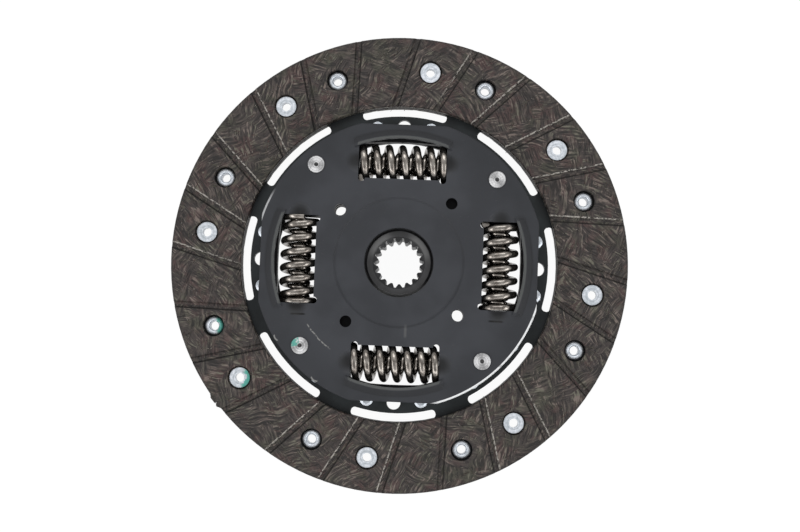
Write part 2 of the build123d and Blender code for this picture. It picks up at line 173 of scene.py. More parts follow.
class Finish(Graph):
    """A material with its shader, and the object's own coordinates in millimetres."""

    def __init__(self, name):
        self.material = bpy.data.materials.new(name)
        self.material.use_nodes = True
        super().__init__(self.material.node_tree)
        self.shader = self.tree.nodes["Principled BSDF"]
        object_place = self.node("ShaderNodeTexCoord").outputs["Object"]
        self.place = self.scaled(object_place, 1 / MM)
        self.x, self.y, self.z = self.split(self.place)
        self.radius = self.vector("LENGTH", self.joined(self.x, self.y, 0.0))

    def clock(self):
        """Clock angle in radians, from minus pi to pi."""
        return self.math("ARCTAN2", self.x, self.y)

    def around(self, first, count, circle):
        """Place from the middle of the nearest piece of a ring pattern, with +Y outwards, and its number."""
        step = 2 * math.pi / count
        from_first = self.minus(self.clock(), math.radians(first))
        number = self.math("ROUND", self.math("DIVIDE", from_first, step))
        turned = self.node("ShaderNodeVectorRotate", self.place, rotation_type="Z_AXIS")
        angle = self.plus(self.times(number, step), math.radians(first))
        self.feed(turned.inputs["Angle"], angle)
        return self.vector("SUBTRACT", turned.outputs[0], (0.0, circle, 0.0)), number

    def sector(self, x, y, clock, half, soft):
        """1 within half degrees of a clock angle round a middle, falling to 0 over soft degrees."""
        turn = math.radians(clock)
        across = self.times(x, math.sin(turn))
        out = self.plus(across, self.times(y, math.cos(turn)))
        length = self.largest(self.vector("LENGTH", self.joined(x, y, 0.0)), 0.001)
        away = self.math("ARCCOSINE", self.math("DIVIDE", out, length))
        return self.ramp(away, math.radians(half), math.radians(half + soft), 1.0, 0.0)

    def near(self, value, target, inner, outer):
        """1 where value is within inner of target, falling to 0 at outer."""
        distance = self.math("ABSOLUTE", self.minus(value, target))
        return self.ramp(distance, inner, outer, 1.0, 0.0)

    def bump(self, height, depth, normal=None):
        """Normal from a height between 0 and 1 that stands for depth millimetres."""
        made = self.node("ShaderNodeBump")
        self.feeds(made, Strength=1.0, Distance=depth * MM, Height=height, Normal=normal)
        return made.outputs[0]

    def shade(self, base, roughness, metallic=0.0, specular=0.5, normal=None):
        self.feeds(self.shader, Base_Color=base, Roughness=roughness, Metallic=metallic, Normal=normal)
        self.feeds(self.shader, Specular_IOR_Level=specular)
        return self.material


def lining_finish(name, face_height, mirrored):
    """Pressed yarn and resin: tangled strands on the faces, painted shade and a broken painted highlight on
    the groove walls, a dark rim.
    """
    f = Finish(name)
    x = f.times(f.x, -1.0 if mirrored else 1.0)
    clock = f.math("ARCTAN2", x, f.y)
    slant = f.math("DIVIDE", groove_offset, f.radius)
    lag = f.math("ARCSINE", slant)
    first = f.minus(f.plus(clock, lag), math.radians(groove_first_angle))
    pads = f.math("DIVIDE", first, math.radians(groove_step))
    pad = f.math("FLOOR", pads)
    from_middle = f.math("ABSOLUTE", f.minus(f.math("FRACT", pads), 0.5))
    from_groove = f.times(f.minus(0.5, from_middle), f.radius, math.radians(groove_step))
    turned = f.node("ShaderNodeVectorRotate", f.joined(x, f.y, 0.0), rotation_type="Z_AXIS")
    f.feed(turned.inputs["Angle"], f.times(pad, math.radians(groove_step)))
    pad_place = f.vector("ADD", turned.outputs[0], f.joined(0.0, 0.0, f.times(pad, 41.7)))
    bend = f.vector("SUBTRACT", f.noise(pad_place, 17.0, 1.0).outputs["Color"], (0.5, 0.5, 0.5))
    curl = f.vector("SUBTRACT", f.noise(pad_place, 4.0, 2.0).outputs["Color"], (0.5, 0.5, 0.5))
    flowing = f.vector("ADD", f.vector("ADD", pad_place, f.scaled(bend, 9.0)), f.scaled(curl, 0.8))

    def strands(turn, width, length, shift):
        """Noise drawn out along curved lines of flow, which start off in the direction turn."""
        laid = f.node("ShaderNodeVectorRotate", flowing, rotation_type="Z_AXIS")
        laid.inputs["Angle"].default_value = math.radians(turn)
        drawn = f.vector("MULTIPLY", f.vector("ADD", laid.outputs[0], shift), (1 / length, 1 / width, 0.3))
        return f.noise(drawn, 1.0, 2.0, 0.65).outputs["Fac"]

    second_share = f.ramp(f.noise(pad_place, 10.0, 3.0, 0.6).outputs["Fac"], 0.45, 0.55)
    first_share = f.minus(1.0, second_share)

    def crossed(width, length, first_shift, second_shift):
        """Strands that lie in one direction here and in another there."""
        first_way = f.times(strands(20.0, width, length, first_shift), first_share)
        second_way = f.times(strands(-55.0, width, length, second_shift), second_share)
        return f.plus(first_way, second_way)

    fine = crossed(0.85, 6.5, (0.0, 0.0, 0.0), (7.0, 3.0, 1.0))
    coarse = crossed(1.5, 9.0, (3.0, 9.0, 2.0), (5.0, 1.0, 4.0))
    clumps = f.ramp(f.noise(pad_place, 5.0, 2.0).outputs["Fac"], 0.4, 0.6)
    light = f.times(f.ramp(fine, 0.52, 0.62), f.ramp(clumps, 0.0, 1.0, 0.35, 1.0))
    light = f.largest(light, f.times(f.ramp(coarse, 0.58, 0.7), 0.3))
    dark = f.largest(f.times(f.ramp(coarse, 0.49, 0.37), 0.9), f.ramp(fine, 0.48, 0.38))
    tone = f.noise(pad_place, 8.0, 3.0).outputs["Color"]
    red_share, green_share = f.split(tone)[0], f.split(tone)[1]
    base = f.mix(f.ramp(red_share, 0.48, 0.64), colour(0.038, 0.031, 0.029), colour(0.056, 0.034, 0.032))
    base = f.mix(f.ramp(green_share, 0.5, 0.68), base, colour(0.043, 0.041, 0.031))
    strand_tone = f.noise(f.vector("ADD", pad_place, (3.0, 40.0, 9.0)), 4.0, 1.0).outputs["Fac"]
    strand = f.mix(f.ramp(strand_tone, 0.4, 0.6), colour(0.195, 0.158, 0.138), colour(0.15, 0.144, 0.112))
    base = f.mix(f.times(dark, 0.9), base, colour(0.0075, 0.0065, 0.006))
    base = f.mix(f.times(light, 0.8), base, strand)

    # Off the pads' faces, in the grooves and on the walls of the edges, the colour is darkened a little:
    # painted shade
    face = f.near(f.z, face_height, 0.03, 0.12)
    base = f.mix(f.ramp(face, 0.0, 1.0, 0.15, 0.0), base, colour(0.010, 0.009, 0.0085))

    # Groove walls: painted shade on the one that faces down the view, and a broken painted highlight on the
    # other in some clock ranges
    square = f.math("SQRT", f.minus(1.0, f.times(slant, slant)))
    beside = f.times(from_groove, square)
    wall = f.near(beside, 1.3, 0.25, 0.45)
    number = f.math("ROUND", pads)
    along_groove = f.times(number, math.radians(groove_step))
    aim = f.plus(along_groove, math.radians(groove_first_angle))
    side_sign = f.math("SIGN", f.minus(f.math("FRACT", pads), 0.5))
    upper = f.times(f.math("SINE", aim), side_sign)
    highlight_range = f.near(clock, math.radians(46.0), 0.52, 0.64)
    for middle in (155.0, -168.0, -63.0):
        highlight_range = f.largest(highlight_range, f.near(clock, math.radians(middle), 0.42, 0.58))
    highlight_breaks = f.ramp(f.noise(f.place, 1.1, 3.0, 0.75).outputs["Fac"], 0.42, 0.56)
    # Painted highlight on the groove walls turned towards the lamps, broken up by noise
    painted_highlight = f.times(f.near(beside, 1.4, 0.16, 0.42), f.ramp(upper, 0.0, 0.15), highlight_breaks, highlight_range)
    # Painted shade on the groove walls, darkest on the wall turned away from the lamps
    painted_wall_shade = f.times(wall, f.ramp(upper, -0.05, 0.05, 0.8, 0.2))
    base = f.mix(painted_wall_shade, base, colour(0.006, 0.0055, 0.005))
    # Painted highlight along the facing's bore wall, strongest towards clock 40 degrees
    bore_wall = f.ramp(f.radius, facing_inner + 0.12, facing_inner + 0.04)
    bore_highlight_side = f.ramp(f.math("COSINE", f.minus(clock, math.radians(40.0))), -0.1, 0.7, 0.0, 1.0)
    painted_highlight = f.largest(painted_highlight, f.times(bore_wall, highlight_breaks, bore_highlight_side))
    # Pale colour of the painted highlights on the groove and bore walls
    base = f.mix(f.times(painted_highlight, 0.9), base, colour(0.5, 0.47, 0.43))
    rim = f.ramp(f.radius, facing_outer - 1.3, facing_outer - 0.3)
    base = f.mix(f.times(rim, 0.6), base, colour(0.014, 0.012, 0.011))
    relief = f.plus(f.times(fine, 0.6), f.times(coarse, 0.6))
    return f.shade(base, 0.6, specular=0.3, normal=f.bump(relief, 0.8))


def yarn_finish():
    """Bare ends of yarn: grey, olive and reddish, some pale."""
    f = Finish("yarn")
    pick = f.split(f.noise(f.place, 1.7, 1.0).outputs["Color"])
    base = f.mix(f.ramp(pick[0], 0.4, 0.6), colour(0.055, 0.046, 0.040), colour(0.075, 0.070, 0.052))
    base = f.mix(f.ramp(pick[1], 0.55, 0.65), base, colour(0.070, 0.040, 0.036))
    base = f.mix(f.ramp(pick[2], 0.56, 0.66), base, colour(0.19, 0.17, 0.15))
    return f.shade(base, 0.6, specular=0.3)


def plate_finish(name):
    """Phosphated black sheet: satin and faintly mottled."""
    f = Finish(name)
    clouds = f.noise(f.place, 24.0, 3.0, 0.55).outputs["Fac"]
    grain = f.noise(f.place, 0.9, 3.0, 0.7).outputs["Fac"]
    base = f.mix(f.ramp(clouds, 0.35, 0.65), colour(0.034, 0.0358, 0.0408), colour(0.044, 0.0465, 0.053))
    base = f.mix(f.ramp(grain, 0.62, 0.8), base, colour(0.06, 0.06, 0.063))
    return f, base, f.ramp(clouds, 0.3, 0.7, 0.42, 0.54), f.bump(grain, 0.03)


def cover_finish():
    """The front plate's sheet, with its scratch, a rub mark and nicks along its rim, painted shade and
    highlights round its windows and a painted highlight on its rim's edge.
    """
    f, base, roughness, normal = plate_finish("cover_black")
    seat_end, crease_end = 20.4, 23.9
    lip_crest, scratch_radius, nick_radius, rim_start = 54.5, 47.6, 62.1, 62.05
    clock = f.clock()
    outer = f.ramp(f.radius, 44.0, 60.0)
    base = f.mix(f.times(outer, 0.32), base, colour(0.016, 0.017, 0.019))
    window, ring_number = f.around(0.0, 4, spring_circle)
    along, out = f.split(window)[:2]
    from_middle = f.math("ABSOLUTE", along)
    # Soft dark spots at the window ends, where the sheet is pressed into seats: painted shade
    seat = f.vector("DISTANCE", f.joined(from_middle, out, 0.0), (seat_end, 0.0, 0.0))
    base = f.mix(f.times(f.ramp(seat, 1.2, 5.2, 1.0, 0.0), 0.8), base, colour(0.011, 0.011, 0.011))
    # Near-black line beside the window ends: a painted shadow of a step in the sheet
    crease_shadow_line = f.near(f.times(along, ring_number), crease_end, 0.2, 0.6)
    crease_shadow = f.times(crease_shadow_line, f.near(out, -0.9, 2.2, 3.8))
    base = f.mix(crease_shadow, base, colour(0.004, 0.004, 0.004))

    # Darker outer slope of each window's lip: painted shade
    slope_shade = f.times(f.ramp(f.radius, 55.1, 55.5), f.ramp(f.radius, 57.6, 58.6, 1.0, 0.0))
    beside = f.ramp(from_middle, 19.4, 24.0, 1.0, 0.0)
    base = f.mix(f.times(slope_shade, beside, 0.45), base, colour(0.014, 0.014, 0.015))
    # Pale band along each lip's crest: a painted highlight
    crest_highlight = f.times(f.near(f.radius, lip_crest, 0.3, 0.75), f.ramp(f.z, 24.6, 25.0))
    crest_highlight = f.times(crest_highlight, f.ramp(from_middle, 19.3, 20.2, 1.0, 0.0))
    base = f.mix(f.times(crest_highlight, 0.55), base, colour(0.12, 0.125, 0.12))

    sway = f.times(f.minus(f.noise(f.place, 5.0, 2.0).outputs["Fac"], 0.5), 1.2)
    line = f.near(f.plus(f.radius, sway), scratch_radius, 0.12, 0.42)
    reach = f.near(clock, math.radians(-135.0), 0.13, 0.17)
    broken = f.ramp(f.noise(f.place, 1.3, 2.0).outputs["Fac"], 0.4, 0.56)
    mark = f.times(line, reach, broken)
    rub = f.times(f.near(f.x, 4.0, 0.15, 0.9), f.near(f.y, -29.6, 1.8, 3.4))
    mark = f.largest(mark, f.times(rub, 0.22))
    for nick_clock, nick_half in ((-123.8, 1.1), (-146.4, 1.3)):
        middle = math.radians(nick_clock)
        bow = f.times(f.math("COSINE", f.times(f.minus(clock, middle), 60.0)), 0.5)
        nick = f.near(f.minus(f.radius, bow), nick_radius, 0.2, 0.45)
        nick_reach = f.near(clock, middle, math.radians(nick_half), math.radians(nick_half + 0.4))
        mark = f.largest(mark, f.times(nick, nick_reach))
    base = f.mix(f.times(mark, 0.85), base, colour(0.26, 0.26, 0.25))

    # Near-white patchy line on the rim's edge in two clock ranges: a painted highlight
    edge = f.times(f.ramp(f.radius, rim_start, rim_start + 0.2), f.ramp(f.z, 24.0, 24.3))
    highlight_reach = f.near(clock, math.radians(132.0), 0.5, 0.62)
    highlight_reach = f.largest(highlight_reach, f.times(f.near(clock, math.radians(-72.0), 0.08, 0.2), 0.5))
    patchy = f.ramp(f.noise(f.place, 5.0, 3.0).outputs["Fac"], 0.28, 0.42)
    edge_highlight = f.times(edge, highlight_reach, patchy)
    base = f.mix(edge_highlight, base, colour(0.85, 0.86, 0.87))
    return f.shade(base, roughness, specular=0.2, normal=normal)


def rear_plate_finish():
    """The rear plate's sheet, darker inside the damper as painted shade under the cover."""
    f, base, roughness, normal = plate_finish("rear_plate_black")
    # Painted shade on the sheet within the damper, under the cover
    inside = f.ramp(f.radius, 57.0, 60.0, 1.0, 0.0)
    inside = f.times(inside, f.ramp(f.z, 11.0, 11.2))
    base = f.mix(f.times(inside, 0.8), base, colour(0.006, 0.006, 0.006))
    return f.shade(base, roughness, specular=0.2, normal=normal)


def sheet_finish(name, base, specular=0.2):
    """Blackened spring steel of the cushion disc, flange and inner rings."""
    f = Finish(name)
    clouds = f.noise(f.place, 11.0, 3.0).outputs["Fac"]
    darker = tuple(0.6 * part for part in base[:3]) + (1.0,)
    shaded = f.mix(f.ramp(clouds, 0.35, 0.65), darker, base)
    grain = f.noise(f.place, 0.7, 2.0).outputs["Fac"]
    return f.shade(shaded, 0.45, specular=specular, normal=f.bump(grain, 0.03))


def spring_finish():
    """Shot-peened wire, dark with browner and blacker patches."""
    f = Finish("spring_bronze")
    patches = f.noise(f.place, 3.2, 3.0, 0.6).outputs["Fac"]
    peened = f.noise(f.place, 0.42, 2.0).outputs["Fac"]
    base = f.mix(f.ramp(patches, 0.36, 0.64), colour(0.115, 0.102, 0.091), colour(0.24, 0.222, 0.202))
    base = f.mix(f.times(f.ramp(peened, 0.6, 0.72), 0.3), base, colour(0.3, 0.285, 0.26))
    return f.shade(base, f.ramp(patches, 0.3, 0.7, 0.17, 0.23), 0.96, normal=f.bump(peened, 0.006))


dab_green = colour(0.035, 0.33, 0.26)


def rivet_finish(name, first, dab_number, dab_clock, dab_reach):
    """Zinc plate, pale and slightly blue, turned head by turned head; one head has a dab of green paint."""
    f = Finish(name)
    local, number = f.around(first, 8, rivet_circle)
    x, y = f.split(local)[:2]
    distance = f.vector("LENGTH", f.joined(x, y, 0.0))
    clouds = f.noise(f.place, 1.1, 3.0).outputs["Fac"]
    base = f.mix(f.ramp(clouds, 0.35, 0.65), colour(0.47, 0.51, 0.55), colour(0.66, 0.69, 0.74))
    # Darker ring 2.75 mm out and darker rim: painted shade in the curl of the rolled tails and round the
    # heads' edges
    groove = f.near(distance, 2.75, 0.05, 0.5)
    base = f.mix(f.times(groove, 0.35), base, colour(0.22, 0.24, 0.26))
    edge = f.ramp(distance, 3.9, 4.4)
    base = f.mix(f.times(edge, 0.3), base, colour(0.25, 0.27, 0.3))
    metallic = 0.6
    if dab_number is not None:
        here = f.near(f.math("ABSOLUTE", f.minus(number, dab_number)), 0.0, 0.1, 0.3)
        ragged = f.times(f.minus(f.noise(f.place, 1.2, 2.0).outputs["Fac"], 0.5), 2.2)
        cover = f.sector(x, y, dab_clock, 52.0, 30.0)
        ring = f.ramp(f.plus(distance, ragged), dab_reach, dab_reach + 0.7)
        dab = f.times(cover, ring, here)
        base = f.mix(f.times(dab, 0.9), base, dab_green)
        metallic = f.ramp(dab, 0.0, 1.0, metallic, 0.05)
    return f.shade(base, f.ramp(clouds, 0.3, 0.7, 0.32, 0.44), metallic, normal=f.bump(clouds, 0.03))


def pin_finish():
    """Turned end of a stop pin, with rings round its centre mark, paler and darker sectors as a painted
    sheen, and painted shade in the centre mark.
    """
    f = Finish("pin_steel")
    local, number = f.around(pin_first_angle, 4, pin_circle)
    x, y = f.split(local)[:2]
    distance = f.vector("LENGTH", f.joined(x, y, 0.0))
    angle = f.math("ARCTAN2", x, y)
    rings = f.noise(f.joined(distance, number, 0.0), 0.34, 2.0).outputs["Fac"]
    # Paler and darker sectors round each pin's centre: a painted sheen of the turned surface
    sheen_lobes = f.math("COSINE", f.times(f.plus(angle, number), 2.0))
    mark_place = f.joined(f.times(angle, 2.2), f.times(distance, 0.3), number)
    marks = f.noise(mark_place, 0.5, 2.0).outputs["Fac"]
    tone = f.plus(f.times(sheen_lobes, 0.14), f.times(rings, 0.6), f.times(marks, 0.5))
    base = f.mix(f.ramp(tone, 0.3, 0.8), colour(0.26, 0.26, 0.265), colour(0.72, 0.72, 0.73))
    turned_ring = f.largest(f.near(distance, 1.55, 0.05, 0.35), f.near(distance, 2.75, 0.02, 0.2))
    base = f.mix(f.times(turned_ring, 0.35), base, colour(0.1, 0.1, 0.1))
    # Near-black centre mark: painted shade in the dimple
    dark = f.ramp(distance, 0.75, 1.15, 1.0, 0.0)
    base = f.mix(f.times(dark, 0.92), base, colour(0.012, 0.012, 0.013))
    here = f.near(f.math("ABSOLUTE", number), 2.0, 0.1, 0.3)
    worn = f.ramp(f.noise(f.place, 1.0, 2.0).outputs["Fac"], 0.25, 0.5)
    dab = f.times(f.sector(x, y, 77.0, 36.0, 14.0), f.ramp(distance, 0.8, 1.4), here, worn)
    base = f.mix(f.times(dab, 0.85), base, dab_green)
    metallic = f.ramp(dab, 0.0, 1.0, 0.7, 0.1)
    return f.shade(base, 0.36, metallic, normal=f.bump(rings, 0.03))


def hub_finish():
    """Dark turned hub: soft pale patches on its face and a bright line on its edge, both painted highlights.
    """
    f = Finish("hub_steel")
    clouds = f.noise(f.place, 5.0, 3.0).outputs["Fac"]
    rings = f.noise(f.joined(f.radius, 0.0, 0.0), 0.3, 2.0).outputs["Fac"]
    base = f.mix(f.ramp(clouds, 0.35, 0.65), colour(0.020, 0.020, 0.021), colour(0.034, 0.034, 0.036))
    # Soft pale patches near the chamfer, upper left and upper right: painted highlights
    patch = f.largest(f.sector(f.x, f.y, 312.0, 12.0, 26.0), f.sector(f.x, f.y, 52.0, 14.0, 26.0))
    patch = f.times(patch, f.near(f.radius, 12.6, 0.6, 1.9))
    base = f.mix(f.times(patch, 0.75), base, colour(0.13, 0.13, 0.13))
    # Bright line on the lower edge: a painted highlight
    edge = f.times(f.ramp(f.radius, 13.6, 14.0), f.sector(f.x, f.y, 178.0, 30.0, 30.0))
    base = f.mix(f.times(edge, 0.7), base, colour(0.3, 0.3, 0.3))
    return f.shade(base, 0.4, specular=0.35, normal=f.bump(rings, 0.03))


def set_finish(material, *names):
    """Gives CAD nodes their material."""
    for name in names:
        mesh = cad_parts[name].data
        mesh.materials.clear()
        mesh.materials.append(material)
        for face in mesh.polygons:
            face.material_index = 0


def light_strip(name, middle, along, length, width, power):
    """Long soft lamp that points at the disc, with its length along a direction."""
    lamp = bpy.data.lights.new(name, "AREA")
    lamp.shape = "RECTANGLE"
    lamp.size = length * MM
    lamp.size_y = width * MM
    lamp.energy = power
    strip = bpy.data.objects.new(name, lamp)
    strip.location = Vector(middle) * MM
    away = (strip.location - Vector((0, 0, facing_front * MM))).normalized()
    across = away.cross(Vector(along)).normalized()
    strip.rotation_mode = "QUATERNION"
    strip.rotation_quaternion = Matrix((across.cross(away), across, away)).transposed().to_quaternion()
    bpy.context.scene.collection.objects.link(strip)
    return strip


def white_room():
    """Plain light from all round, which the camera and polished metal see as white."""
    world = bpy.data.worlds.new("white_room")
    bpy.context.scene.world = world
    world.use_nodes = True
    g = Graph(world.node_tree)
    background = world.node_tree.nodes["Background"]
    path = g.node("ShaderNodeLightPath")
    seen = g.largest(path.outputs["Is Camera Ray"], path.outputs["Is Transmission Ray"])
    seen = g.largest(seen, path.outputs["Is Glossy Ray"])
    background.inputs["Color"].default_value = colour(1.0, 1.0, 1.0)
    g.feed(background.inputs["Strength"], g.ramp(seen, 0.0, 1.0, 0.3, 1.0, smooth=False))


def pale_floor():
    """Round white floor under the hub."""
    mesh = bpy.data.meshes.new("pale_floor")
    rim = [at_clock(turn, 2500.0, -0.02) * MM for turn in range(0, 360, 5)]
    mesh.from_pydata(rim[::-1], [], [range(len(rim))])
    floor = bpy.data.objects.new("pale_floor", mesh)
    bpy.context.scene.collection.objects.link(floor)
    material = bpy.data.materials.new("floor_white")
    material.use_nodes = True
    g = Graph(material.node_tree)
    shader = material.node_tree.nodes["Principled BSDF"]
    g.feeds(shader, Base_Color=colour(0.9, 0.9, 0.9), Roughness=0.9, Specular_IOR_Level=0.0)
    glow = g.node("ShaderNodeEmission", colour(1.0, 1.0, 1.0), 1.06)
    path = g.node("ShaderNodeLightPath")
    seen = g.largest(path.outputs["Is Camera Ray"], path.outputs["Is Glossy Ray"])
    mixed = g.node("ShaderNodeMixShader", g.times(seen, 0.9), shader.outputs[0], glow.outputs[0])
    g.tree.links.new(mixed.outputs[0], material.node_tree.nodes["Material Output"].inputs[0])
    mesh.materials.append(material)


def photo_camera():
    """Camera above the disc, a few degrees below its axis."""
    data = bpy.data.cameras.new("photo_camera")
    data.lens = camera_lens
    data.sensor_width = 36.0
    camera = bpy.data.objects.new("photo_camera", data)
    bpy.context.scene.collection.objects.link(camera)
    place = Vector(camera_place) * MM
    back = (place - Vector(camera_aim) * MM).normalized()
    level = Vector((math.cos(math.radians(camera_roll)), math.sin(math.radians(camera_roll)), 0.0))
    up = back.cross(level).normalized()
    camera.location = place
    camera.rotation_mode = "QUATERNION"
    camera.rotation_quaternion = Matrix((up.cross(back), up, back)).transposed().to_quaternion()
    bpy.context.scene.camera = camera


class Geometry(Graph):
    """A geometry node tree with named inputs, which ends in real faces with one material."""

    def __init__(self, name):
        super().__init__(bpy.data.node_groups.new(name, "GeometryNodeTree"))
        self.tree.interface.new_socket("Geometry", in_out="INPUT", socket_type="NodeSocketGeometry")
        self.tree.interface.new_socket("Geometry", in_out="OUTPUT", socket_type="NodeSocketGeometry")
        self.entry = self.node("NodeGroupInput")
        self.values = {}

    def size(self, name, value):
        """A named input of the tree, with the value that its modifier gets."""
        socket = self.tree.interface.new_socket(name, in_out="INPUT", socket_type="NodeSocketFloat")
        self.values[socket.identifier] = float(value)
        return self.entry.outputs[name]

    def finished(self, geometry, material, name, start=None):
        """Runs the tree on an object and returns its result as a plain mesh object."""
        real = self.node("GeometryNodeRealizeInstances", geometry)
        painted = self.node("GeometryNodeSetMaterial", real.outputs[0])
        painted.inputs["Material"].default_value = material
        self.feed(self.node("NodeGroupOutput").inputs[0], painted.outputs[0])
        carrier = bpy.data.objects.new(name + "_start", start or bpy.data.meshes.new(name + "_start"))
        bpy.context.scene.collection.objects.link(carrier)
        modifier = carrier.modifiers.new(name, "NODES")
        modifier.node_group = self.tree
        for identifier, value in self.values.items():
            modifier[identifier] = value
        bpy.context.view_layer.update()
        evaluated = carrier.evaluated_get(bpy.context.evaluated_depsgraph_get())
        mesh = bpy.data.meshes.new_from_object(evaluated)
        carrier.modifiers.remove(modifier)
        bpy.data.objects.remove(carrier)
        mesh.name = name
        piece = bpy.data.objects.new(name, mesh)
        bpy.context.scene.collection.objects.link(piece)
        return piece


def coil_spring(name, clock, phase, wire, coil, circle, pitch, even_turns, hand, steps):
    """Coil with closed ground ends, wound along a clock position's window."""
    g = Geometry(name)
    wire_diameter = g.size("Wire diameter", wire * MM)
    coil_diameter = g.size("Coil diameter", coil * MM)
    free_length = g.size("Length", spring_length * MM)
    open_pitch = g.size("Pitch", pitch * MM)
    closed_pitch = g.size("Closing pitch", 0.3 * MM)
    half_even = g.size("Even turns from the middle", even_turns)
    turn = g.size("Phase in turns", phase)

    line = g.node("GeometryNodeCurvePrimitiveLine")
    line = g.node("GeometryNodeResampleCurve", line.outputs[0])
    line.inputs["Count"].default_value = steps
    share = g.node("GeometryNodeSplineParameter").outputs["Factor"]
    half_turns = g.plus(half_even, 1.0)
    turns = g.times(g.minus(g.times(share, 2.0), 1.0), half_turns)
    size = g.math("ABSOLUTE", turns)
    even = g.math("MINIMUM", size, half_even)
    closing = g.minus(size, even)
    drop = g.times(g.minus(open_pitch, closed_pitch), 0.5)
    bend = g.times(drop, g.times(closing, closing))
    reach = g.minus(g.times(open_pitch, size), bend)
    along = g.times(reach, g.math("SIGN", turns))
    angle = g.times(g.minus(turns, turn), 2 * math.pi)
    mean_radius = g.times(g.minus(coil_diameter, wire_diameter), 0.5)
    up = g.times(g.math("COSINE", angle), mean_radius)
    out = g.times(g.math("SINE", angle), g.times(mean_radius, -hand))
    helix = g.node("GeometryNodeSetPosition", line.outputs[0])
    g.feed(helix.inputs["Position"], g.joined(along, out, up))
    ring = g.node("GeometryNodeCurvePrimitiveCircle")
    ring.inputs["Resolution"].default_value = 20
    g.feed(ring.inputs["Radius"], g.times(wire_diameter, 0.5))
    tube = g.node("GeometryNodeCurveToMesh", helix.outputs[0], ring.outputs[0])
    tube.inputs["Fill Caps"].default_value = True
    x, y, z = g.split(g.node("GeometryNodeInputPosition").outputs[0])
    limit = g.times(free_length, 0.5)
    ground_x = g.math("MINIMUM", g.largest(x, g.times(limit, -1.0)), limit)
    ground = g.node("GeometryNodeSetPosition", tube.outputs[0])
    g.feed(ground.inputs["Position"], g.joined(ground_x, y, z))
    smooth = g.node("GeometryNodeSetShadeSmooth", ground.outputs[0])
    seat = g.node("GeometryNodeTransform", smooth.outputs[0])
    seat.inputs["Translation"].default_value = at_clock(clock, circle, spring_height) * MM
    seat.inputs["Rotation"].default_value = (0.0, 0.0, -math.radians(clock))
    piece = g.finished(seat.outputs[0], spring_bronze, name)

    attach(piece, spring_set)
    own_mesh(piece)
    return piece


def yarn_ends(name, facing, face_height, up, material, per_square_metre, seed):
    """Short ends of yarn that lie on a facing's pads, clear of its grooves and rivet holes."""
    g = Geometry(name)
    length = g.size("Length", 3.6 * MM)
    thickness = g.size("Thickness", 0.26 * MM)
    bend = g.size("Bend", 0.5 * MM)
    density = g.size("Ends per square metre", per_square_metre)
    margin = g.size("Distance from the edges", 0.7 * MM)
    patch = g.size("Patch size", 11.0 * MM)

    entry = g.entry.outputs["Geometry"]
    position = g.node("GeometryNodeInputPosition").outputs[0]
    height = g.split(position)[2]
    from_face = g.math("ABSOLUTE", g.minus(height, face_height * MM))
    compare = "FunctionNodeCompare"
    off_face = g.node(compare, from_face, 0.02 * MM, operation="GREATER_THAN").outputs[0]
    parts = g.node("GeometryNodeSeparateGeometry", entry, off_face, domain="FACE")
    walls, pads = parts.outputs["Selection"], parts.outputs["Inverted"]
    scatter = g.node("GeometryNodeDistributePointsOnFaces", pads)
    g.feeds(scatter, Density=density, Seed=seed)
    reach = g.node("GeometryNodeProximity", walls)
    g.feed(reach.inputs["Sample Position"], position)
    too_near = g.node(compare, reach.outputs["Distance"], margin, operation="LESS_THAN").outputs[0]
    kept = g.node("GeometryNodeDeleteGeometry", scatter.outputs["Points"], too_near).outputs[0]

    start = g.joined(g.times(length, -0.5), 0.0, 0.0)
    end = g.joined(g.times(length, 0.5), 0.0, 0.0)
    bow = g.node("GeometryNodeCurveQuadraticBezier", 4, start, g.joined(0.0, bend, 0.0), end)
    section = g.node("GeometryNodeCurvePrimitiveCircle")
    section.inputs["Resolution"].default_value = 4
    g.feed(section.inputs["Radius"], g.times(thickness, 0.5))
    strand = g.node("GeometryNodeCurveToMesh", bow.outputs[0], section.outputs[0])
    strand.inputs["Fill Caps"].default_value = True
    strand = g.node("GeometryNodeSetShadeSmooth", strand.outputs[0])

    flow = g.node("ShaderNodeTexNoise")
    g.feeds(flow, Vector=position, Scale=g.math("DIVIDE", 1.0, patch), Detail=1.0)
    spread = g.node("FunctionNodeRandomValue", data_type="FLOAT")
    g.feed(spread.inputs[2], -0.55)
    g.feed(spread.inputs[3], 0.55)
    spread.inputs["Seed"].default_value = seed + 1
    x, y = g.split(position)[:2]
    tangent = g.times(g.math("ARCTAN2", x, y), -1.0)
    swing = g.times(g.minus(flow.outputs["Fac"], 0.5), 9.0)
    turn = g.plus(tangent, swing, spread.outputs[1])
    stretch = g.node("FunctionNodeRandomValue", data_type="FLOAT_VECTOR")
    stretch.inputs[0].default_value = (0.45, -1.2, 0.6)
    stretch.inputs[1].default_value = (1.35, 1.2, 1.1)
    stretch.inputs["Seed"].default_value = seed + 2
    laid = g.node("GeometryNodeInstanceOnPoints", kept)
    g.feeds(laid, Instance=strand.outputs[0], Rotation=g.joined(0.0, 0.0, turn), Scale=stretch.outputs[0])
    lifted = g.node("GeometryNodeTranslateInstances", laid.outputs[0])
    lifted.inputs["Translation"].default_value = (0.0, 0.0, 0.03 * up * MM)
    piece = g.finished(lifted.outputs[0], material, name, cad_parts[facing].data.copy())
    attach(piece, driven_side)
    return piece


